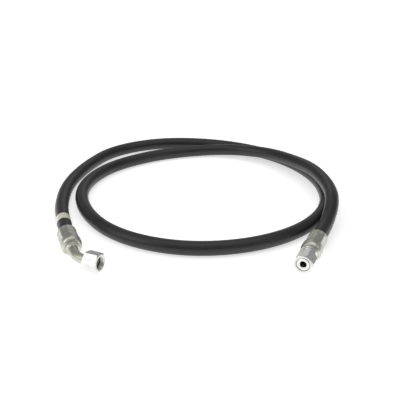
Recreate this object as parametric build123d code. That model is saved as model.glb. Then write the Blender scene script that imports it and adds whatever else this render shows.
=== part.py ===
from build123d import *
import os
from math import cos, pi, radians, sin, tan

# Two-wire hydraulic hose assembly, lying in a double loop: crimped 45 degree swivel elbow on one end,
# crimped straight swivel on the other. Millimetres, +Z up, floor at z = 0, the two ends at the front (-Y).

# hose layers, inside to outside
hose_bore = 9.5
inner_tube_wall = 1.5
inner_braid_wall = 0.75
friction_wall = 0.3
outer_braid_wall = 0.75
cover_wall = 1.35

# crimped ferrule, the same on both ends; stations count from its hose-side rim
ferrule_length = 40.0
shell_wall = 2.9
front_wall = 6.0
rim_length = 4.0
rim_relief = 0.55
crimp_length = 23.0
crimp_flats = 8
crimp_depth = 0.4
crimp_ridge = 0.25
crimp_bite = 0.3
collar_rise = 0.8
collar_length = 10.0
collar_round = 2.0

# inserts: one turned piece from the barbed tail to the collar
flow_bore = 7.9
tail_setback = 2.0
barb_count = 5
barb_pitch = 5.0
barb_depth = 0.2
barb_bite = 0.2
neck_outer = 12.0
elbow_collar_outer = 17.0
elbow_collar_length = 5.0
socket_floor = 1.5
straight_collar_outer = 19.0
straight_collar_length = 9.0
collar_chamfer = 0.8
stem_length = 15.5

# elbow tube and the sleeve brazed on its end
stem_outer = 12.0
elbow_turn = 45.0
bend_radius = 30.0
corner_reach = 27.0
nut_reach = 34.0
sleeve_outer = 15.6
sleeve_length = 7.5
sleeve_lip = 2.0
sleeve_chamfer = 0.5

# swivel nut, the same on both ends
nut_across_flats = 22.0
nut_length = 19.0
nut_shoulder = 5.5
nut_chamfer = 30.0
nut_face_inset = 0.35
thread_major = 17.46
thread_minor = 15.9
thread_length = 5.5
swivel_clearance = 0.08
seat_gap = 0.3
elbow_nut_roll = -12.0
straight_nut_roll = 13.0

# identification sleeve round the hose, behind the elbow's ferrule
id_sleeve_wall = 0.6
id_sleeve_length = 20.0
id_sleeve_station = 38.0

# lie of the hose: loop centre, headings of the two ends (from -Y towards +X), and the points from the
# elbow's ferrule rim to the straight's: x and y from the loop's centre, then how far the hose's
# underside is lifted; None is the height that its ferrule holds it at
loop_centre = (16.79, 185.94)
elbow_heading = 20.0
straight_heading = -23.5
lie = [
    (-176.2, -144.0, None),
    (-189.0, -102.0, 2.0),
    (-202.5, -50.5, 0),
    (-207.5, 25.5, 0),
    (-190.0, 105.0, 0),
    (-155.0, 178.0, 0),
    (-75.5, 220.0, 0),
    (18.5, 213.0, 0),
    (99.5, 172.5, 0),
    (153.5, 111.5, 0),
    (180.5, 35.0, 0),
    (176.0, -54.0, 0),
    (129.5, -129.5, 0),
    (53.0, -174.0, 0),
    (-35.0, -180.5, 0),
    (-116.0, -143.0, 0),
    (-167.0, -71.0, 0),
    (-185.5, 13.0, 0),
    (-157.0, 94.5, 0),
    (-93.0, 149.0, 0),
    (-24.5, 175.5, 0),
    (44.0, 176.5, 3.0),
    (107.5, 142.5, 9.0),
    (145.0, 87.0, 15.25),
    (168.0, 35.5, 20.25),
    (179.0, -28.5, 20.25),
    (176.0, -76.0, 18.25),
    (161.0, -118.0, 6.0),
    (142.9, -158.2, None),
]

# radii and stations that follow from the sizes above
hose_layers = {}
radius = hose_bore / 2
for layer, wall in (
    ("hose_inner_tube", inner_tube_wall),
    ("inner_wire_braid", inner_braid_wall),
    ("friction_layer", friction_wall),
    ("outer_wire_braid", outer_braid_wall),
    ("hose_cover", cover_wall),
):
    hose_layers[layer] = (radius, radius + wall)
    radius += wall
hose_radius = radius
rim_radius = hose_radius + shell_wall
collar_radius = rim_radius + collar_rise
grip_depth = ferrule_length - front_wall
nut_corner_radius = nut_across_flats / 2 / cos(pi / 6)
fitting_height = max(collar_radius, nut_corner_radius)
sleeve_recess = nut_length - nut_shoulder - seat_gap - sleeve_length
stem_start = ferrule_length + straight_collar_length
straight_face = stem_start + stem_length + sleeve_length


def heading(angle):
    return Vector(sin(radians(angle)), -cos(radians(angle)), 0)


def across(point, angle):
    # plane square to the heading, its X level and its Y straight up
    return Plane(origin=point, x_dir=Vector(0, 0, 1).cross(heading(angle)), z_dir=heading(angle))


def turned(*outline):
    # solid of revolution about Z from corners (radius, station)
    section = make_face(Polyline(*[(r, 0, s) for r, s in outline], close=True))
    return revolve(section, Axis.Z)


def hose_points():
    points = []
    for x, y, lift in lie:
        z = fitting_height if lift is None else hose_radius + lift
        points.append(Vector(loop_centre[0] + x, loop_centre[1] + y, z))
    first, last = points[0], points[-1]
    return [
        first + heading(elbow_heading) * grip_depth,
        *points,
        last + heading(straight_heading) * grip_depth,
    ]


def arc_radii(points):
    # each arc takes 0.45 of the shorter run beside its point
    radii = []
    for before, here, after in zip(points, points[1:], points[2:]):
        turn = (here - before).get_angle(after - here)
        run = min((here - before).length, (after - here).length)
        radii.append(0.45 * run / tan(radians(turn) / 2))
    return radii


def tube_along(path, inner, outer):
    start = Plane(origin=path @ 0, z_dir=path % 0)
    return sweep(start * (Circle(outer) - Circle(inner)), path=path)


def id_sleeve(points, radii):
    # a short sleeve on the hose's own curve, cut square at both ends
    path = FilletPolyline(*points[:6], radius=radii[:4])
    middle = grip_depth + id_sleeve_station
    cut = Plane(
        origin=path.position_at(middle, position_mode=PositionMode.LENGTH),
        z_dir=path.tangent_at(middle, position_mode=PositionMode.LENGTH),
    )
    keep = cut * Cylinder(hose_radius + 4 * id_sleeve_wall, id_sleeve_length)
    return tube_along(path, hose_radius, hose_radius + id_sleeve_wall) & keep


def ferrule():
    # shell over the hose with a relieved rim, flats pressed by the crimping dies, and a front collar;
    # the crimp squeezes the cover, so inside it the shell is a press fit
    crimp_end = rim_length + crimp_length
    collar_end = crimp_end + collar_length
    ridge_radius = rim_radius + crimp_ridge
    blank = turned(
        (neck_outer / 2, grip_depth),
        (hose_radius - crimp_bite, grip_depth),
        (hose_radius - crimp_bite, rim_length),
        (hose_radius + rim_relief, rim_length),
        (hose_radius + rim_relief, 0),
        (rim_radius, 0),
        (rim_radius, rim_length),
        (ridge_radius, rim_length),
        (ridge_radius, crimp_end),
        (collar_radius, crimp_end + collar_rise / 2),
        (collar_radius, collar_end - collar_rise / 2),
        (collar_radius - collar_round / 2, ferrule_length - collar_round / 2),
        (collar_radius - collar_round, ferrule_length),
        (neck_outer / 2, ferrule_length),
    )
    flats = RegularPolygon(rim_radius - crimp_depth, crimp_flats, major_radius=False)
    pressed = Circle(collar_radius) - flats
    return blank - Pos(0, 0, rim_length) * extrude(pressed, crimp_length)


def barbed_tail():
    # corners of the insert's outside, from its tip to where it leaves the ferrule; the barbs bite the tube
    crest = hose_bore / 2 + barb_bite
    valley = hose_bore / 2 - barb_depth
    corners = [(valley, tail_setback)]
    for barb in range(barb_count):
        start = tail_setback + 1 + barb * barb_pitch
        corners += [(crest, start + barb_pitch / 2), (crest, start + barb_pitch - 1)]
        corners += [(valley, start + barb_pitch - 1)]
    return corners + [(valley, grip_depth), (neck_outer / 2, grip_depth)]


def straight_insert():
    bore, collar, stem, sleeve = (
        size / 2 for size in (flow_bore, straight_collar_outer, stem_outer, sleeve_outer)
    )
    head = straight_face - sleeve_length
    return turned(
        (bore, tail_setback),
        *barbed_tail(),
        (neck_outer / 2, ferrule_length),
        (collar - collar_chamfer, ferrule_length),
        (collar, ferrule_length + collar_chamfer),
        (collar, stem_start - collar_chamfer),
        (collar - collar_chamfer, stem_start),
        (stem, stem_start),
        (stem, head),
        (sleeve, head),
        (sleeve, straight_face - sleeve_chamfer),
        (sleeve - sleeve_chamfer, straight_face),
        (bore, straight_face),
    )


def elbow_insert():
    bore, collar, stem = (size / 2 for size in (flow_bore, elbow_collar_outer, stem_outer))
    front = ferrule_length + elbow_collar_length
    return turned(
        (bore, tail_setback),
        *barbed_tail(),
        (neck_outer / 2, ferrule_length),
        (collar - collar_chamfer, ferrule_length),
        (collar, ferrule_length + collar_chamfer),
        (collar, front - collar_chamfer),
        (collar - collar_chamfer, front),
        (stem, front),
        (stem, ferrule_length + socket_floor),
        (bore, ferrule_length + socket_floor),
    )


def elbow_tube():
    corner = Vector(0, 0, ferrule_length + corner_reach)
    tube_end = nut_reach - sleeve_recess - sleeve_lip
    outward = Vector(sin(radians(elbow_turn)), 0, cos(radians(elbow_turn)))
    path = FilletPolyline(
        (0, 0, ferrule_length + socket_floor), corner, corner + outward * tube_end, radius=bend_radius
    )
    return tube_along(path, flow_bore / 2, stem_outer / 2)


def elbow_sleeve():
    # flat seal face, with a socket behind it that the tube is brazed into; station 0 is its face
    sleeve, stem, bore = sleeve_outer / 2, stem_outer / 2, flow_bore / 2
    return turned(
        (stem, -sleeve_length),
        (sleeve, -sleeve_length),
        (sleeve, -sleeve_chamfer),
        (sleeve - sleeve_chamfer, 0),
        (bore, 0),
        (bore, -sleeve_lip),
        (stem, -sleeve_lip),
    )


def swivel_nut():
    # station 0 is the mouth; the shoulder at the back turns on the stem
    lead = (thread_major - thread_minor) / 2
    shoulder = nut_shoulder - nut_length
    chamfer_rise = (nut_corner_radius - nut_across_flats / 2 + nut_face_inset) * tan(radians(nut_chamfer))
    face = nut_across_flats / 2 - nut_face_inset
    hexagon = RegularPolygon(nut_across_flats / 2, 6, major_radius=False)
    body = Pos(0, 0, -nut_length) * extrude(hexagon, nut_length)
    body &= turned(
        (0, -nut_length),
        (face, -nut_length),
        (nut_corner_radius, chamfer_rise - nut_length),
        (nut_corner_radius, -chamfer_rise),
        (face, 0),
        (0, 0),
    )
    return body - turned(
        (0, -nut_length),
        (stem_outer / 2 + swivel_clearance, -nut_length),
        (stem_outer / 2 + swivel_clearance, shoulder),
        (thread_major / 2, shoulder),
        (thread_major / 2, -thread_length),
        (thread_minor / 2, -thread_length),
        (thread_minor / 2, -lead),
        (thread_major / 2, 0),
        (0, 0),
    )


def build():
    points = hose_points()
    radii = arc_radii(points)
    path = FilletPolyline(*points, radius=radii)
    pieces = {layer: tube_along(path, *span) for layer, span in hose_layers.items()}
    print(f"hose: {len(points)} points, {path.length:.1f} mm long, diameter {2 * hose_radius:.2f} mm")
    print("arc radii, mm:", ", ".join(f"{r:.0f}" for r in radii))
    for layer, (inner, outer) in hose_layers.items():
        expected = pi * (outer**2 - inner**2) * path.length
        print(f"{layer}: volume {pieces[layer].volume:.0f} mm3, section x length {expected:.0f} mm3")

    elbow_end = across(points[1], elbow_heading)
    straight_end = across(points[-2], straight_heading)
    corner = elbow_end * Pos(0, 0, ferrule_length + corner_reach) * Rot(0, elbow_turn, 0)
    elbow_mouth = corner * Pos(0, 0, nut_reach)
    straight_mouth = straight_end * Pos(0, 0, straight_face)

    pieces["id_sleeve"] = id_sleeve(points, radii)
    pieces["elbow_ferrule"] = elbow_end * ferrule()
    pieces["elbow_insert"] = elbow_end * elbow_insert()
    pieces["elbow_tube"] = elbow_end * elbow_tube()
    pieces["elbow_sleeve"] = elbow_mouth * Pos(0, 0, -sleeve_recess) * elbow_sleeve()
    pieces["elbow_nut"] = elbow_mouth * Rot(0, 0, elbow_nut_roll) * swivel_nut()
    pieces["straight_ferrule"] = straight_end * ferrule()
    pieces["straight_insert"] = straight_end * straight_insert()
    pieces["straight_nut"] = straight_mouth * Rot(0, 0, straight_nut_roll) * swivel_nut()
    for name, frame in (("elbow", elbow_mouth), ("straight", straight_mouth)):
        at, out = frame.position, (frame * Pos(0, 0, 1)).position - frame.position
        print(f"{name} nut mouth at {at.X:.3f}, {at.Y:.3f}, {at.Z:.3f},",
              f"facing {out.X:.5f}, {out.Y:.5f}, {out.Z:.5f}")
    return pieces


os.makedirs("parts", exist_ok=True)
for node, shape in build().items():
    export_step(shape, f"parts/{node}.step")
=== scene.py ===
from math import atan2, cos, floor, hypot, pi, radians, sin, tan
import bmesh
import bpy
from mathutils import Matrix, Vector, noise


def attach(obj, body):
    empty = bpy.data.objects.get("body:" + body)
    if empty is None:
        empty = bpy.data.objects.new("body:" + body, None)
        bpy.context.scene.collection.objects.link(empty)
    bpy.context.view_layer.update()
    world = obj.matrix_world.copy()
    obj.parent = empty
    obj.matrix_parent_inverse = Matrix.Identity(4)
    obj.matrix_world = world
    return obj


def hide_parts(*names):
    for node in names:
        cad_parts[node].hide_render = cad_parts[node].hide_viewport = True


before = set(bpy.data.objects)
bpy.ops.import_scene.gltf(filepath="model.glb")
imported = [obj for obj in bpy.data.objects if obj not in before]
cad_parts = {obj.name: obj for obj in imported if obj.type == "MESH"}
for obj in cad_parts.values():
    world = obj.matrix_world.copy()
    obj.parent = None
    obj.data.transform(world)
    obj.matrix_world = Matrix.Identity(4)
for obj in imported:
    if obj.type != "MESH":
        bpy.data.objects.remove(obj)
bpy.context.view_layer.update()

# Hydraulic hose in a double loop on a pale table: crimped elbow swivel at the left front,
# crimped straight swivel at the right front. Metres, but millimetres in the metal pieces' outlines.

mm = 0.001
scene = bpy.context.scene


# tools for every piece and finish

def linkObject(name, data):
    piece = bpy.data.objects.new(name, data)
    scene.collection.objects.link(piece)
    return piece


def handOver(piece, body, node):
    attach(piece, body)
    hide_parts(node)
    return piece


class Wire:
    # one number or colour on its way through a material, so that masks are plain arithmetic
    def __init__(self, paint, socket):
        self.paint, self.socket = paint, socket

    def maths(self, operation, first, second=0.0):
        return self.paint.add("ShaderNodeMath", {"operation": operation}, {0: first, 1: second}).out(0)

    def __add__(self, other):
        return self.maths("ADD", self, other)

    def __radd__(self, other):
        return self.maths("ADD", other, self)

    def __sub__(self, other):
        return self.maths("SUBTRACT", self, other)

    def __rsub__(self, other):
        return self.maths("SUBTRACT", other, self)

    def __mul__(self, other):
        return self.maths("MULTIPLY", self, other)

    def __rmul__(self, other):
        return self.maths("MULTIPLY", other, self)

    def sine(self):
        return self.maths("SINE", self)

    def wrapped(self):
        return self.maths("FRACT", self)


class Node:
    def __init__(self, paint, node):
        self.paint, self.node = paint, node

    def out(self, key):
        return Wire(self.paint, self.node.outputs[key])


class Paint:
    # a material: add() makes any node from its type, settings and sockets
    def __init__(self, name):
        self.material = bpy.data.materials.new(name)
        self.material.use_nodes = True
        self.tree = self.material.node_tree
        self.tree.nodes.clear()

    def add(self, kind, settings, sockets):
        node = self.tree.nodes.new(kind)
        for key, value in settings.items():
            setattr(node, key, value)
        for key, value in sockets.items():
            if isinstance(value, Wire):
                self.tree.links.new(value.socket, node.inputs[key])
            else:
                node.inputs[key].default_value = value
        return Node(self, node)

    def place(self, which):
        return self.add("ShaderNodeTexCoord", {}, {}).out(which)

    def speckle(self, vector, scale, detail=3.0, roughness=0.5, distortion=0.0):
        sockets = {"Vector": vector, "Scale": scale, "Detail": detail,
                   "Roughness": roughness, "Distortion": distortion}
        return self.add("ShaderNodeTexNoise", {}, sockets).out("Fac")

    def stretched(self, vector, scale):
        return self.add("ShaderNodeMapping", {}, {"Vector": vector, "Scale": scale}).out(0)

    def split(self, vector):
        return self.add("ShaderNodeSeparateXYZ", {}, {0: vector})

    def between(self, mask, low, high):
        sockets = {"Value": mask, "From Min": low, "From Max": high}
        return self.add("ShaderNodeMapRange", {}, sockets).out(0)

    def blend(self, mask, first, second):
        first, second = [c if isinstance(c, Wire) else (*c, 1) for c in (first, second)]
        return self.add("ShaderNodeMix", {"data_type": "RGBA"}, {0: mask, 6: first, 7: second}).out(2)

    def bumps(self, height, distance, strength=1.0):
        sockets = {"Height": height, "Distance": distance, "Strength": strength}
        return self.add("ShaderNodeBump", {}, sockets).out(0)

    def finish(self, **sockets):
        named = {key.replace("_", " "): value for key, value in sockets.items()}
        named = {key: (*v, 1) if isinstance(v, tuple) and len(v) == 3 else v for key, v in named.items()}
        shader = self.add("ShaderNodeBsdfPrincipled", {}, named)
        self.add("ShaderNodeOutputMaterial", {}, {"Surface": shader.out(0)})
        return self.material


# the hose's lie, from the elbow's end to the straight's

hose = {
    "bore": 4.75 * mm,  # radius
    "walls": {"innerTube": 1.5 * mm, "innerBraid": 0.75 * mm, "frictionLayer": 0.3 * mm,
              "outerBraid": 0.75 * mm, "hoseCover": 1.35 * mm},
    "fittingHeight": 13.1 * mm,  # of the fittings' axes, as high as a ferrule's collar is thick
    "gripDepth": 34 * mm,  # hose inside a ferrule
    "loopCentre": (16.79 * mm, 185.94 * mm),
    "elbowHeading": radians(20.0),
    "straightHeading": radians(-23.5),
    "length": 2.140,
}
hoseRadius = hose["bore"] + sum(hose["walls"].values())
# x and y from the loop's centre, then the lift of the hose's underside; None is held by a ferrule
lie = [
    (-0.1762, -0.1440, None),
    (-0.1890, -0.1020, 0.002),
    (-0.2025, -0.0505, 0),
    (-0.2075, 0.0255, 0),
    (-0.1900, 0.1050, 0),
    (-0.1550, 0.1780, 0),
    (-0.0755, 0.2200, 0),
    (0.0185, 0.2130, 0),
    (0.0995, 0.1725, 0),
    (0.1535, 0.1115, 0),
    (0.1805, 0.0350, 0),
    (0.1760, -0.0540, 0),
    (0.1295, -0.1295, 0),
    (0.0530, -0.1740, 0),
    (-0.0350, -0.1805, 0),
    (-0.1160, -0.1430, 0),
    (-0.1670, -0.0710, 0),
    (-0.1855, 0.0130, 0),
    (-0.1570, 0.0945, 0),
    (-0.0930, 0.1490, 0),
    (-0.0245, 0.1755, 0),
    (0.0440, 0.1765, 0.0030),
    (0.1075, 0.1425, 0.0090),
    (0.1450, 0.0870, 0.01525),
    (0.1680, 0.0355, 0.02025),
    (0.1790, -0.0285, 0.02025),
    (0.1760, -0.0760, 0.01825),
    (0.1610, -0.1180, 0.0060),
    (0.1429, -0.1582, None),
]


def headingVector(angle):
    return Vector((sin(angle), -cos(angle), 0))


def hosePoints():
    points = []
    for x, y, lift in lie:
        height = hose["fittingHeight"] if lift is None else hoseRadius + lift
        points.append(Vector((hose["loopCentre"][0] + x, hose["loopCentre"][1] + y, height)))
    start = points[0] + headingVector(hose["elbowHeading"]) * hose["gripDepth"]
    end = points[-1] + headingVector(hose["straightHeading"]) * hose["gripDepth"]
    return [start, *points, end]


def endFrame(point, heading):
    # Z along the fitting, Y up, X level
    axis = headingVector(heading)
    side = Vector((0, 0, 1)).cross(axis)
    turn = Matrix((side, (0, 0, 1), axis)).transposed()
    return Matrix.Translation(point) @ turn.to_4x4()


def slide(distance):
    return Matrix.Translation((0, 0, distance))


routePoints = hosePoints()
elbowEnd = endFrame(routePoints[1], hose["elbowHeading"])
straightEnd = endFrame(routePoints[-2], hose["straightHeading"])


# camera, light and table

view = {
    "place": (-5.9 * mm, -879 * mm, 390 * mm),  # x and y from the loop's centre
    "pitch": radians(24.2),
    "lens": 58.05,
    "sensor": 36.0,
}


def makeCamera():
    lens = bpy.data.cameras.new("camera")
    lens.lens, lens.sensor_width, lens.sensor_fit = view["lens"], view["sensor"], "HORIZONTAL"
    lens.clip_start, lens.clip_end = 0.05, 20
    camera = linkObject("camera", lens)
    x, y, z = view["place"]
    camera.location = (x + hose["loopCentre"][0], y + hose["loopCentre"][1], z)
    camera.rotation_euler = (pi / 2 - view["pitch"], 0, 0)
    bpy.context.scene.camera = camera


lamps = {
    "overhead": {"place": (0.05, 0.1, 2.0), "aim": (0.02, 0.15, 0), "size": 2.4, "power": 13},
    "left": {"place": (-1.6, -0.5, 1.1), "aim": (0, 0.1, 0), "size": 1.4, "power": 8},
    "right": {"place": (1.5, -0.6, 0.9), "aim": (0.05, 0.05, 0), "size": 0.6, "power": 1},
    "back": {"place": (0.1, 2.2, 1.05), "aim": (0, 0, 0), "size": 0.9, "power": 1.2},
}
surroundings = 0.26


def makeLight():
    for name, lamp in lamps.items():
        light = bpy.data.lights.new(name, "AREA")
        light.shape, light.size, light.energy = "SQUARE", lamp["size"], lamp["power"]
        holder = linkObject(name, light)
        holder.location = lamp["place"]
        aim = Vector(lamp["aim"]) - Vector(lamp["place"])
        holder.rotation_euler = aim.to_track_quat("-Z", "Y").to_euler()
    world = bpy.data.worlds.new("studio")
    world.use_nodes = True
    background = world.node_tree.nodes["Background"]
    background.inputs["Color"].default_value = (1, 1, 1, 1)
    background.inputs["Strength"].default_value = surroundings
    scene.world = world
    scene.view_settings.view_transform = "Standard"


tableTop = {
    "reach": 6,  # from the middle to an edge
    "drop": 0.2 * mm,
    "colour": (0.92, 0.92, 0.92),
    "glowNear": (0.60, 0.60, 0.60),
    "glowFar": (1, 1, 1),
    "glowSpan": (0.4, 2.2),  # distances between which the glow grows
}


def makeTable():
    t = tableTop
    bm = bmesh.new()
    bmesh.ops.create_grid(bm, x_segments=1, y_segments=1, size=t["reach"])
    bmesh.ops.translate(bm, verts=bm.verts, vec=(0, 0, -t["drop"]))
    table = linkObject("table", bpy.data.meshes.new("table"))
    bm.to_mesh(table.data)
    bm.free()
    paint = Paint("tableTop")
    away = paint.add("ShaderNodeVectorMath", {"operation": "LENGTH"}, {0: paint.place("Object")}).out("Value")
    glow = paint.blend(paint.between(away, *t["glowSpan"]), t["glowNear"], t["glowFar"])
    table.data.materials.append(paint.finish(Base_Color=t["colour"], Roughness=0.6,
                                              Emission_Color=glow, Emission_Strength=1.0))


makeCamera()
makeLight()
makeTable()
print("stage: camera, light and table")


# finishes

rubber = {
    "grain": 2600,
    "cloud": 38,
    "scuff": 30,
    "wraps": 88.0,  # of the cured spiral, end to end
    "dust": (0.04, 0.039, 0.038),
    "depth": 0.06 * mm,
}


def rubberPaint(name, colour, dusty):
    r = rubber
    paint = Paint(name)
    parts = paint.split(paint.place("UV"))
    along, around = parts.out(0), parts.out(1)
    solid = paint.place("Object")
    grain = paint.speckle(solid, r["grain"], 2, 0.6)
    cloudy = paint.speckle(solid, r["cloud"], 4, 0.55)
    # faint edge of the spiral wrap that the cover is cured in
    spiral = (along * r["wraps"] + around + cloudy * 0.05).wrapped()
    edge = paint.between(spiral, 0.0, 0.05) * (1 - paint.between(spiral, 0.9, 1.0))
    patches = paint.speckle(paint.stretched(solid, (r["scuff"],) * 3), 2.0, 6, 0.62)
    scuff = paint.between(patches, 0.54, 0.78)
    bloom = paint.blend(paint.between(cloudy, 0.3, 0.75), colour, tuple(c * 1.6 for c in colour))
    shade = paint.blend(scuff * dusty, bloom, r["dust"])
    rough = 0.30 + cloudy * 0.14 + scuff * 0.12
    height = grain * 0.25 + edge * 0.5 + cloudy * 0.6
    normal = paint.bumps(height, r["depth"], 0.8)
    return paint.finish(Base_Color=shade, Roughness=rough, Normal=normal, Specular_IOR_Level=0.5)


braid = {"crossings": 1400.0, "starts": 36.0, "depth": 0.2 * mm}


def braidPaint(name, colour, angle):
    # bright wires, plaited in two directions round the hose
    paint = Paint(name)
    parts = paint.split(paint.place("UV"))
    along, around = parts.out(0) * braid["crossings"], parts.out(1) * braid["starts"]
    first = ((along + around * angle) * 2 * pi).sine()
    second = ((along - around * angle) * 2 * pi).sine()
    weave = first.maths("MAXIMUM", first, second)
    # painted shade between the wires: the wire colour falls to a quarter where the weave is low
    shade = paint.blend(paint.between(weave, -0.2, 1), tuple(c * 0.25 for c in colour), colour)
    return paint.finish(Base_Color=shade, Metallic=1.0, Roughness=0.34,
                        Normal=paint.bumps(weave, braid["depth"]))


zinc = {"cloud": 190, "stain": 75, "grain": 3000, "depth": 0.03 * mm}


def zincPaint(name, pale, dark, rough, mottle, brushed=None, matrix=None):
    # plated steel: cloudy passivation, fine grain and small stains; brushed is the tool rings' closeness
    paint = Paint(name)
    solid = paint.place("Object")
    cloud = paint.speckle(solid, zinc["cloud"], 4, 0.6, 0.4)
    stain = paint.between(paint.speckle(solid, zinc["stain"], 5, 0.65, 0.8), 0.5, 0.72)
    fine = paint.speckle(solid, zinc["grain"], 2, 0.5)
    colour = paint.blend(paint.between(cloud, 0.3, 0.7), pale, dark)
    colour = paint.blend(stain * mottle, colour, tuple(c * 0.55 for c in dark))
    height = fine * 0.5 + cloud * 0.8
    if brushed:
        # rings left by turning: stations along the piece's own axis
        turned = {"Vector": solid, "Rotation": matrix.to_3x3().inverted().to_euler()}
        station = paint.split(paint.add("ShaderNodeMapping", {}, turned).out(0)).out(2)
        lines = paint.add("ShaderNodeTexNoise", {"noise_dimensions": "1D"},
                          {"W": station, "Scale": brushed, "Detail": 3.0, "Roughness": 0.7}).out("Fac")
        height = height + lines * 1.2
    normal = paint.bumps(height, zinc["depth"], 0.7)
    roughness = rough + cloud * 0.12 + stain * 0.1
    return paint.finish(Base_Color=colour, Metallic=1.0, Roughness=roughness, Normal=normal)


def sleevePaint():
    paint = Paint("paleSleeve")
    solid = paint.place("Object")
    crease = paint.speckle(paint.stretched(solid, (1, 1, 2.5)), 260, 3, 0.6, 1.2)
    tint = paint.blend(paint.between(crease, 0.35, 0.7), (0.97, 0.93, 0.86), (0.84, 0.78, 0.69))
    return paint.finish(Base_Color=tint, Roughness=0.28, Normal=paint.bumps(crease, 0.2 * mm, 0.6),
                        Coat_Weight=0.5, Coat_Roughness=0.15)


# hose layers, all on one spline

def splineCurve(name, points, steps):
    curve = bpy.data.curves.new(name, "CURVE")
    curve.dimensions = "3D"
    spline = curve.splines.new("NURBS")
    spline.points.add(len(points) - 1)
    for knot, point in zip(spline.points, points):
        knot.co = (*point, 1)
    spline.order_u, spline.use_endpoint_u = 3, True
    spline.resolution_u = curve.resolution_u = steps
    return curve


def curveMesh(curve):
    holder = linkObject("holder", curve)
    bpy.context.view_layer.update()
    mesh = bpy.data.meshes.new_from_object(holder)
    bpy.data.objects.remove(holder)
    for face in mesh.polygons:
        face.use_smooth = True
    return mesh


fineness = {"cover": {"steps": 24, "rings": 18}, "inside": {"steps": 12, "rings": 6}}

centreCurve = splineCurve("hoseCentre", routePoints, fineness["cover"]["steps"])
centreLine = [v.co.copy() for v in curveMesh(centreCurve).vertices]
centreLength = sum((b - a).length for a, b in zip(centreLine, centreLine[1:]))
print("stage: hose centreline,", round(centreLength, 4), "m")


def hoseLayer(name, outer, wall, material, fine):
    curve = splineCurve(name, routePoints, fine["steps"])
    curve.bevel_depth, curve.bevel_resolution = outer, fine["rings"]
    mesh = curveMesh(curve)
    mesh.name = name
    mesh.materials.clear()
    mesh.materials.append(material)
    piece = linkObject(name, mesh)
    wallMaker = piece.modifiers.new("wall", "SOLIDIFY")
    wallMaker.thickness, wallMaker.offset = wall, -1
    return piece


layers = {  # name: paint, fineness, CAD node, slot
    "innerTube": (rubberPaint("nitrileLining", (0.02, 0.02, 0.02), 0.1), "inside",
                  "hose_inner_tube", "tube_rubber"),
    "innerBraid": (braidPaint("innerWire", (0.72, 0.62, 0.42), 1), "inside",
                   "inner_wire_braid", "braid_wire"),
    "frictionLayer": (rubberPaint("bondRubber", (0.035, 0.03, 0.028), 0.2), "inside",
                      "friction_layer", "bond_rubber"),
    "outerBraid": (braidPaint("outerWire", (0.75, 0.66, 0.46), -1), "inside",
                   "outer_wire_braid", "braid_wire"),
    "hoseCover": (rubberPaint("coverRubber", (0.015, 0.015, 0.016), 0.45), "cover",
                  "hose_cover", "cover_rubber"),
}
pieces = {}
outer = hose["bore"]
for name, (paint, fine, node, slotName) in layers.items():
    wall = hose["walls"][name]
    outer += wall
    pieces[name] = handOver(hoseLayer(name, outer, wall, paint, fineness[fine]), "hose", node)
print("stage: hose layers")


# identification sleeve, shrunk on the hose behind the elbow's ferrule

sleeveBand = {
    "wall": 0.45 * mm,
    "gap": 0.05 * mm,
    "length": 20 * mm,
    "station": 38 * mm,  # of its middle, from the ferrule's mouth
    "crinkle": 0.012,
    "edge": 0.15 * mm,
}


def bandOnHose(name, start, length, radius, wall):
    # the stretch of the centreline that the band covers, given a round section
    walked, points = 0.0, []
    for a, b in zip(centreLine, centreLine[1:]):
        if start <= walked <= start + length:
            points.append(a)
        walked += (b - a).length
    curve = bpy.data.curves.new(name, "CURVE")
    curve.dimensions = "3D"
    spline = curve.splines.new("POLY")
    spline.points.add(len(points) - 1)
    for index, (knot, point) in enumerate(zip(spline.points, points)):
        knot.co = (*point, 1)
        knot.radius = 1 + sleeveBand["crinkle"] * noise.noise(Vector((index * 0.9, 3.1, 0)))
    curve.bevel_depth, curve.bevel_resolution = radius, fineness["cover"]["rings"]
    mesh = curveMesh(curve)
    piece = linkObject(name, mesh)
    thicken = piece.modifiers.new("wall", "SOLIDIFY")
    thicken.thickness, thicken.offset = wall, -1
    soften = piece.modifiers.new("soften", "BEVEL")
    soften.width, soften.segments, soften.limit_method = sleeveBand["edge"], 2, "ANGLE"
    return piece


pieces["idSleeve"] = bandOnHose(
    "idSleeve",
    hose["gripDepth"] + sleeveBand["station"] - sleeveBand["length"] / 2,
    sleeveBand["length"],
    hoseRadius + sleeveBand["wall"] + sleeveBand["gap"],
    sleeveBand["wall"],
)
pieces["idSleeve"].data.materials.append(sleevePaint())
handOver(pieces["idSleeve"], "hose", "id_sleeve")
print("stage: identification sleeve")


# metal pieces, in millimetres; stations on ferrules, inserts and tube count from the ferrule's open end

def intoPiece(bm, name, matrix, material, body, node, sharp=32):
    # edges sharper than this many degrees stay crisp, the rest shade smooth
    bmesh.ops.transform(bm, matrix=matrix, verts=bm.verts)
    for face in bm.faces:
        face.smooth = True
    for edge in bm.edges:
        edge.smooth = len(edge.link_faces) == 2 and edge.calc_face_angle(0) < radians(sharp)
    mesh = bpy.data.meshes.new(name)
    bm.to_mesh(mesh)
    bm.free()
    mesh.materials.append(material)
    return handOver(linkObject(name, mesh), body, node)


def lathe(outline, steps=128):
    # closed outline of (radius, station), spun about Z
    bm = bmesh.new()
    corners = [bm.verts.new((r * mm, 0, s * mm)) for r, s in outline]
    edges = [bm.edges.new(pair) for pair in zip(corners, corners[1:] + corners[:1])]
    bmesh.ops.spin(bm, geom=corners + edges, cent=(0, 0, 0), axis=(0, 0, 1), dvec=(0, 0, 0),
                   angle=2 * pi, steps=steps, use_merge=True, use_duplicate=False)
    bmesh.ops.remove_doubles(bm, verts=bm.verts, dist=1e-7)
    bmesh.ops.recalc_face_normals(bm, faces=bm.faces)
    return bm


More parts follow.
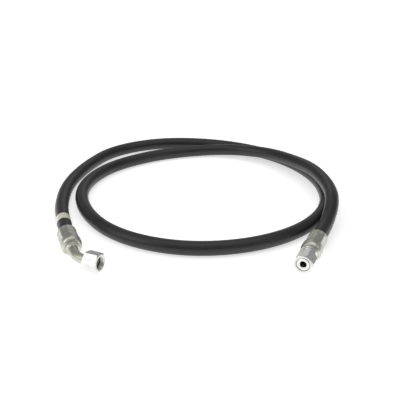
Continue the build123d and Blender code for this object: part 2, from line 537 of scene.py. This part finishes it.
ferrule = {
    "bore": 9.1, "mouth": 9.95, "neck": 6.0, "grip": 34.0, "front": 40.0,
    "rim": 12.3, "rimEnd": 4.0, "rimEdge": 0.25,
    "flats": 8, "flat": 11.9, "ridge": 12.55, "hollow": 0.22, "run": 1.4, "crimpEnd": 27.0,
    "collar": 13.1, "collarEnd": 37.0,
}


def ferruleMesh():
    f = ferrule
    crimp = [(f["ridge"], s) for s in (4.6, 5.6, 7, 9, 12, 15, 18, 21, 24, 26, 26.8)]
    bm = lathe([
        (f["neck"], f["grip"]), (f["bore"], f["grip"]), (f["bore"], f["rimEnd"]),
        (f["mouth"], f["rimEnd"] - 0.5), (f["mouth"], 0), (f["rim"] - f["rimEdge"], 0),
        (f["rim"], f["rimEdge"]), (f["rim"], f["rimEnd"]), *crimp,
        (f["collar"] - 0.15, f["crimpEnd"] + 0.4), (f["collar"], f["crimpEnd"] + 0.8),
        (f["collar"], f["collarEnd"] - 0.6), (f["collar"] - 0.25, f["collarEnd"] + 0.2),
        (f["collar"] - 0.9, f["collarEnd"] + 1.5), (f["collar"] - 1.6, f["front"] - 0.5),
        (f["collar"] - 2.3, f["front"]), (f["neck"], f["front"]),
    ], steps=192)
    sector = 2 * pi / f["flats"]
    for vert in bm.verts:
        radius, station = hypot(vert.co.x, vert.co.y) / mm, vert.co.z / mm
        if f["rimEnd"] < station < f["crimpEnd"] and radius > f["flat"]:
            turn = atan2(vert.co.y, vert.co.x) / sector
            off = (turn - floor(turn) - 0.5) * sector
            # the dies bite less at both ends of their stroke and leave a soft ridge between them
            ease = min(1, (station - f["rimEnd"]) / f["run"], (f["crimpEnd"] - station) / f["run"])
            pressed = f["flat"] / cos(off) - f["hollow"] * (1 - (off / sector * 2) ** 2)
            target = radius + (min(radius, pressed) - radius) * max(ease, 0) ** 0.5
            vert.co.x *= target / radius
            vert.co.y *= target / radius
    return bm


insert = {
    "bore": 3.95, "stem": 6.0, "tip": 2.0, "grip": 34.0, "front": 40.0,
    "valley": 4.55, "crest": 4.95, "barbs": 5, "pitch": 5.0, "barbSlope": 2.5, "barbLand": 1.5,
}


def tailOutline():
    # the barbed tail inside the hose and the stem through the ferrule's neck
    f = insert
    corners = [(f["bore"], f["tip"]), (f["valley"], f["tip"])]
    for barb in range(f["barbs"]):
        top = f["tip"] + 1 + barb * f["pitch"] + f["barbSlope"]
        end = top + f["barbLand"]
        corners += [(f["crest"], top), (f["crest"], end), (f["valley"], end)]
    return corners + [(f["valley"], f["grip"]), (f["stem"], f["grip"]), (f["stem"], f["front"])]


def groove(radius, depth, start, slope, width):
    # turned into a collar: down, along and up again
    floorStart, floorEnd = start + slope, start + slope + width
    return [(radius, start), (radius - depth, floorStart), (radius - depth, floorEnd),
            (radius, floorEnd + slope)]


elbowCollar = {
    "radius": 8.5, "edge": 0.6, "endEdge": 0.8, "end": 45.0, "socket": 41.5,
    "groove": (0.2, 41.6, 0.2, 0.6),  # depth, start, slope and width
    "braze": [(7.2, 45), (6.65, 45.15), (6.3, 45.5), (6.12, 45.95), (6.0, 46.2)],  # small fillet
}


def elbowInsertMesh():
    c, front = elbowCollar, insert["front"]
    return lathe([
        *tailOutline(), (c["radius"] - c["edge"], front), (c["radius"], front + c["edge"]),
        *groove(c["radius"], *c["groove"]), (c["radius"], c["end"] - c["endEdge"]),
        (c["radius"] - c["edge"], c["end"]), *c["braze"], (insert["stem"], c["socket"]),
        (insert["bore"], c["socket"]),
    ])


straightStem = {
    "collar": 9.5, "collarEdge": 0.8, "collarEnd": 49.0, "corner": 0.5,
    "groove": (0.45, 42.6, 0.4, 0.8),
    "seal": 7.8, "sealStart": 64.5, "sealRelief": 0.3, "sealBack": 0.25, "face": 72.0, "faceEdge": 0.5,
}


def straightInsertMesh():
    c, stem, bore, front = straightStem, insert["stem"], insert["bore"], insert["front"]
    return lathe([
        *tailOutline(), (c["collar"] - c["collarEdge"], front), (c["collar"], front + c["collarEdge"]),
        *groove(c["collar"], *c["groove"]), (c["collar"], c["collarEnd"] - c["collarEdge"]),
        (c["collar"] - c["collarEdge"], c["collarEnd"]), (stem + c["corner"], c["collarEnd"]),
        (stem, c["collarEnd"] + c["corner"]), (stem, c["sealStart"] - c["sealRelief"]),
        (stem + c["sealRelief"], c["sealStart"]), (c["seal"] - c["sealBack"], c["sealStart"]),
        (c["seal"], c["sealStart"] + c["sealBack"]), (c["seal"], c["face"] - c["faceEdge"]),
        (c["seal"] - c["faceEdge"], c["face"]), (bore + c["faceEdge"], c["face"]),
        (bore, c["face"] - c["faceEdge"]),
    ])


tube = {
    "outer": 6.0, "bore": 3.95, "start": 41.5, "turn": radians(45), "bend": 30.0,
    "corner": 67.0,  # where the two straight runs would meet
    "end": 26.3, "nutMouth": 34.0,  # from that corner
}


def elbowTubeMesh():
    # a ring at each radius, drawn out straight, round the bend and straight again
    t = tube
    reach = t["bend"] * tan(t["turn"] / 2)
    shell = bmesh.new()

    def only(kind, geometry):
        return [g for g in geometry if isinstance(g, kind)]

    def drawOut(edges, way):
        grown = bmesh.ops.extrude_edge_only(shell, edges=edges)["geom"]
        bmesh.ops.translate(shell, verts=only(bmesh.types.BMVert, grown), vec=way)
        return only(bmesh.types.BMEdge, grown)

    def openEdges():
        return [e for e in shell.edges if len(e.link_faces) == 1]

    for radius in (t["outer"], t["bore"]):
        ring = bmesh.ops.create_circle(shell, cap_ends=False, segments=64, radius=radius * mm)["verts"]
        bmesh.ops.translate(shell, verts=ring, vec=(0, 0, t["start"] * mm))
    first = set(shell.edges)
    edges = drawOut(list(shell.edges), (0, 0, (t["corner"] - reach - t["start"]) * mm))
    centre = (t["bend"] * mm, 0, (t["corner"] - reach) * mm)
    spun = bmesh.ops.spin(shell, geom=edges, cent=centre, axis=(0, 1, 0), dvec=(0, 0, 0),
                          angle=t["turn"], steps=20, use_merge=False, use_duplicate=False)["geom_last"]
    outward = Vector((sin(t["turn"]), 0, cos(t["turn"])))
    drawOut(only(bmesh.types.BMEdge, spun), outward * (t["end"] - reach) * mm)
    bmesh.ops.remove_doubles(shell, verts=shell.verts, dist=1e-7)
    bmesh.ops.bridge_loops(shell, edges=[e for e in openEdges() if e in first])
    bmesh.ops.bridge_loops(shell, edges=openEdges())
    bmesh.ops.recalc_face_normals(shell, faces=shell.faces)
    return shell


sealSleeve = {
    "outer": 7.8, "length": 7.5, "socket": 6.0, "socketEnd": 2.0, "bore": 3.95, "edge": 0.5, "backEdge": 0.2,
    "depth": 5.7,  # of its face inside the nut's mouth
}


def elbowSleeveMesh():
    e = sealSleeve
    return lathe([
        (e["socket"], -e["length"]), (e["outer"] - e["backEdge"], -e["length"]),
        (e["outer"], e["backEdge"] - e["length"]), (e["outer"], -e["edge"]), (e["outer"] - e["edge"], 0),
        (e["bore"] + e["edge"], 0), (e["bore"], -e["edge"]), (e["bore"], -e["socketEnd"]),
        (e["socket"], -e["socketEnd"]),
    ])


nut = {
    "flats": 22.0, "length": 19.0, "shoulder": 5.5, "facing": radians(-30),
    "chamferStart": 10.65, "chamferSlope": radians(30), "edge": 0.4,
    "passage": 6.08, "major": 8.73, "minor": 7.95, "threadLength": 5.5, "threadStart": 0.45,
    "pitch": 1.5875, "stepsPerTurn": 72,
}


def meshOf(bm, name):
    mesh = bpy.data.meshes.new(name)
    bm.to_mesh(mesh)
    bm.free()
    return mesh


def sharedPart(first, second):
    # what two closed shells have in common, as a new bmesh
    left, right = linkObject("left", meshOf(first, "left")), linkObject("right", meshOf(second, "right"))
    cutter = left.modifiers.new("cut", "BOOLEAN")
    cutter.operation, cutter.object, cutter.solver = "INTERSECT", right, "EXACT"
    bpy.context.view_layer.update()
    result = bpy.data.meshes.new_from_object(left.evaluated_get(bpy.context.evaluated_depsgraph_get()))
    for used in (left, right):
        bpy.data.objects.remove(used)
    shared = bmesh.new()
    shared.from_mesh(result)
    return shared


def threadMesh():
    # one ridge drawn round as a helix and trimmed at the mouth and the run-out
    n = nut
    root, crest, pitch, perTurn = n["major"] - 0.02, n["minor"], n["pitch"], n["stepsPerTurn"]
    turns = int(n["threadLength"] / pitch) + 3
    bm = bmesh.new()
    ridge = [(root, 0), (crest, pitch * 0.4), (crest, pitch * 0.52), (root, pitch * 0.92), (root, pitch)]
    corners = [bm.verts.new((r * mm, 0, (s - n["threadLength"] - pitch) * mm)) for r, s in ridge]
    edges = [bm.edges.new(pair) for pair in zip(corners, corners[1:])]
    bmesh.ops.spin(bm, geom=corners + edges, cent=(0, 0, 0), axis=(0, 0, 1),
                   dvec=(0, 0, pitch * mm / perTurn), angle=2 * pi * turns, steps=perTurn * turns,
                   use_merge=False, use_duplicate=False)
    bmesh.ops.remove_doubles(bm, verts=bm.verts, dist=1e-6)
    for height, normal in ((-n["threadStart"], (0, 0, 1)), (-n["threadLength"], (0, 0, -1))):
        geometry = list(bm.verts) + list(bm.edges) + list(bm.faces)
        bmesh.ops.bisect_plane(bm, geom=geometry, plane_co=(0, 0, height * mm), plane_no=normal,
                               clear_outer=True)
    bmesh.ops.recalc_face_normals(bm, faces=bm.faces)
    # the ridge's back goes into the nut's wall, so that it is a closed shell
    bmesh.ops.solidify(bm, geom=list(bm.faces), thickness=0.3 * mm)
    return bm


def nutMesh():
    # hexagonal bar turned in a lathe, with its mouth at the origin and its body on the negative side of Z
    n = nut
    corner = n["flats"] / 2 / cos(pi / 6)
    past, over = 0.01, corner + 0.4  # clear of the bar's faces and corners
    rise = (over - n["chamferStart"]) * tan(n["chamferSlope"])
    ledge = n["shoulder"] - n["length"]
    bar = bmesh.new()
    bmesh.ops.create_cone(bar, cap_ends=True, segments=6, radius1=corner * mm, radius2=corner * mm,
                          depth=n["length"] * mm,
                          matrix=slide(-n["length"] * mm / 2) @ Matrix.Rotation(n["facing"], 4, "Z"))
    turned = lathe([
        (n["passage"] + n["edge"], -n["length"] - past), (n["chamferStart"], -n["length"] - past),
        (over, rise - n["length"]), (over, -rise), (n["chamferStart"], past),
        (n["major"] + 0.1, past), (n["major"] - 0.05, -0.2), (n["major"] + 0.02, -0.5),
        (n["major"] + 0.02, ledge), (n["passage"], ledge), (n["passage"], n["edge"] - n["length"]),
    ], steps=180)
    bm = sharedPart(bar, turned)
    bmesh.ops.remove_doubles(bm, verts=bm.verts, dist=2e-6)
    bmesh.ops.recalc_face_normals(bm, faces=bm.faces)
    bm.from_mesh(meshOf(threadMesh(), "thread"))
    return bm


elbowCorner = elbowEnd @ slide(tube["corner"] * mm) @ Matrix.Rotation(tube["turn"], 4, "Y")
elbowMouth = elbowCorner @ slide(tube["nutMouth"] * mm)
straightMouth = straightEnd @ slide(straightStem["face"] * mm)
sealPlace = elbowMouth @ slide(-sealSleeve["depth"] * mm)

dull = {"pale": (0.80, 0.80, 0.73), "dark": (0.52, 0.52, 0.46)}
bright = {"pale": (0.88, 0.88, 0.87), "dark": (0.76, 0.76, 0.75)}

elbowZinc = zincPaint("elbowZinc", dull["pale"], dull["dark"], 0.30, 0.55, 1400, elbowEnd)
straightZinc = zincPaint("straightZinc", dull["pale"], dull["dark"], 0.30, 0.55, 1400, straightEnd)
tubeZinc = zincPaint("tubeZinc", (0.74, 0.74, 0.67), (0.47, 0.47, 0.40), 0.32, 0.6)
nutZinc = zincPaint("nutZinc", bright["pale"], bright["dark"], 0.24, 0.35)
straightSteel = zincPaint("straightSteel", (0.93, 0.94, 0.91), (0.78, 0.79, 0.76), 0.2, 0.2, 1800,
                          straightEnd)
# the elbow's seal sleeve is bright zinc, painted dark here: painted shade for its place deep in the nut's
# mouth
shadedSealZinc = zincPaint("shadedSealZinc", (0.36, 0.36, 0.34), (0.24, 0.24, 0.22), 0.36, 0.3)

hoseMetal = {  # name: mesh, its frame, material, CAD node, slot
    "elbowFerrule": (ferruleMesh(), elbowEnd, elbowZinc, "elbow_ferrule", "zinc_dull"),
    "straightFerrule": (ferruleMesh(), straightEnd, straightZinc, "straight_ferrule", "zinc_dull"),
    "elbowInsert": (elbowInsertMesh(), elbowEnd, elbowZinc, "elbow_insert", "zinc_dull"),
    "straightInsert": (straightInsertMesh(), straightEnd, straightSteel, "straight_insert", "zinc_bright"),
    "elbowTube": (elbowTubeMesh(), elbowEnd, tubeZinc, "elbow_tube", "zinc_dull"),
    "elbowSleeve": (elbowSleeveMesh(), sealPlace, shadedSealZinc, "elbow_sleeve", "zinc_bright"),
}
for name, (bm, place, material, node, slotName) in hoseMetal.items():
    pieces[name] = intoPiece(bm, name, place, material, "hose", node)
print("stage: fixed fittings")

swivels = {  # name: mouth, roll from level, body, CAD node
    "elbowNut": (elbowMouth, radians(-12), "elbow_swivel", "elbow_nut"),
    "straightNut": (straightMouth, radians(13), "straight_swivel", "straight_nut"),
}
for name, (mouth, roll, body, node) in swivels.items():
    place = mouth @ Matrix.Rotation(roll, 4, "Z")
    pieces[name] = intoPiece(nutMesh(), name, place, nutZinc, body, node, sharp=22)
print("stage: swivel nuts")
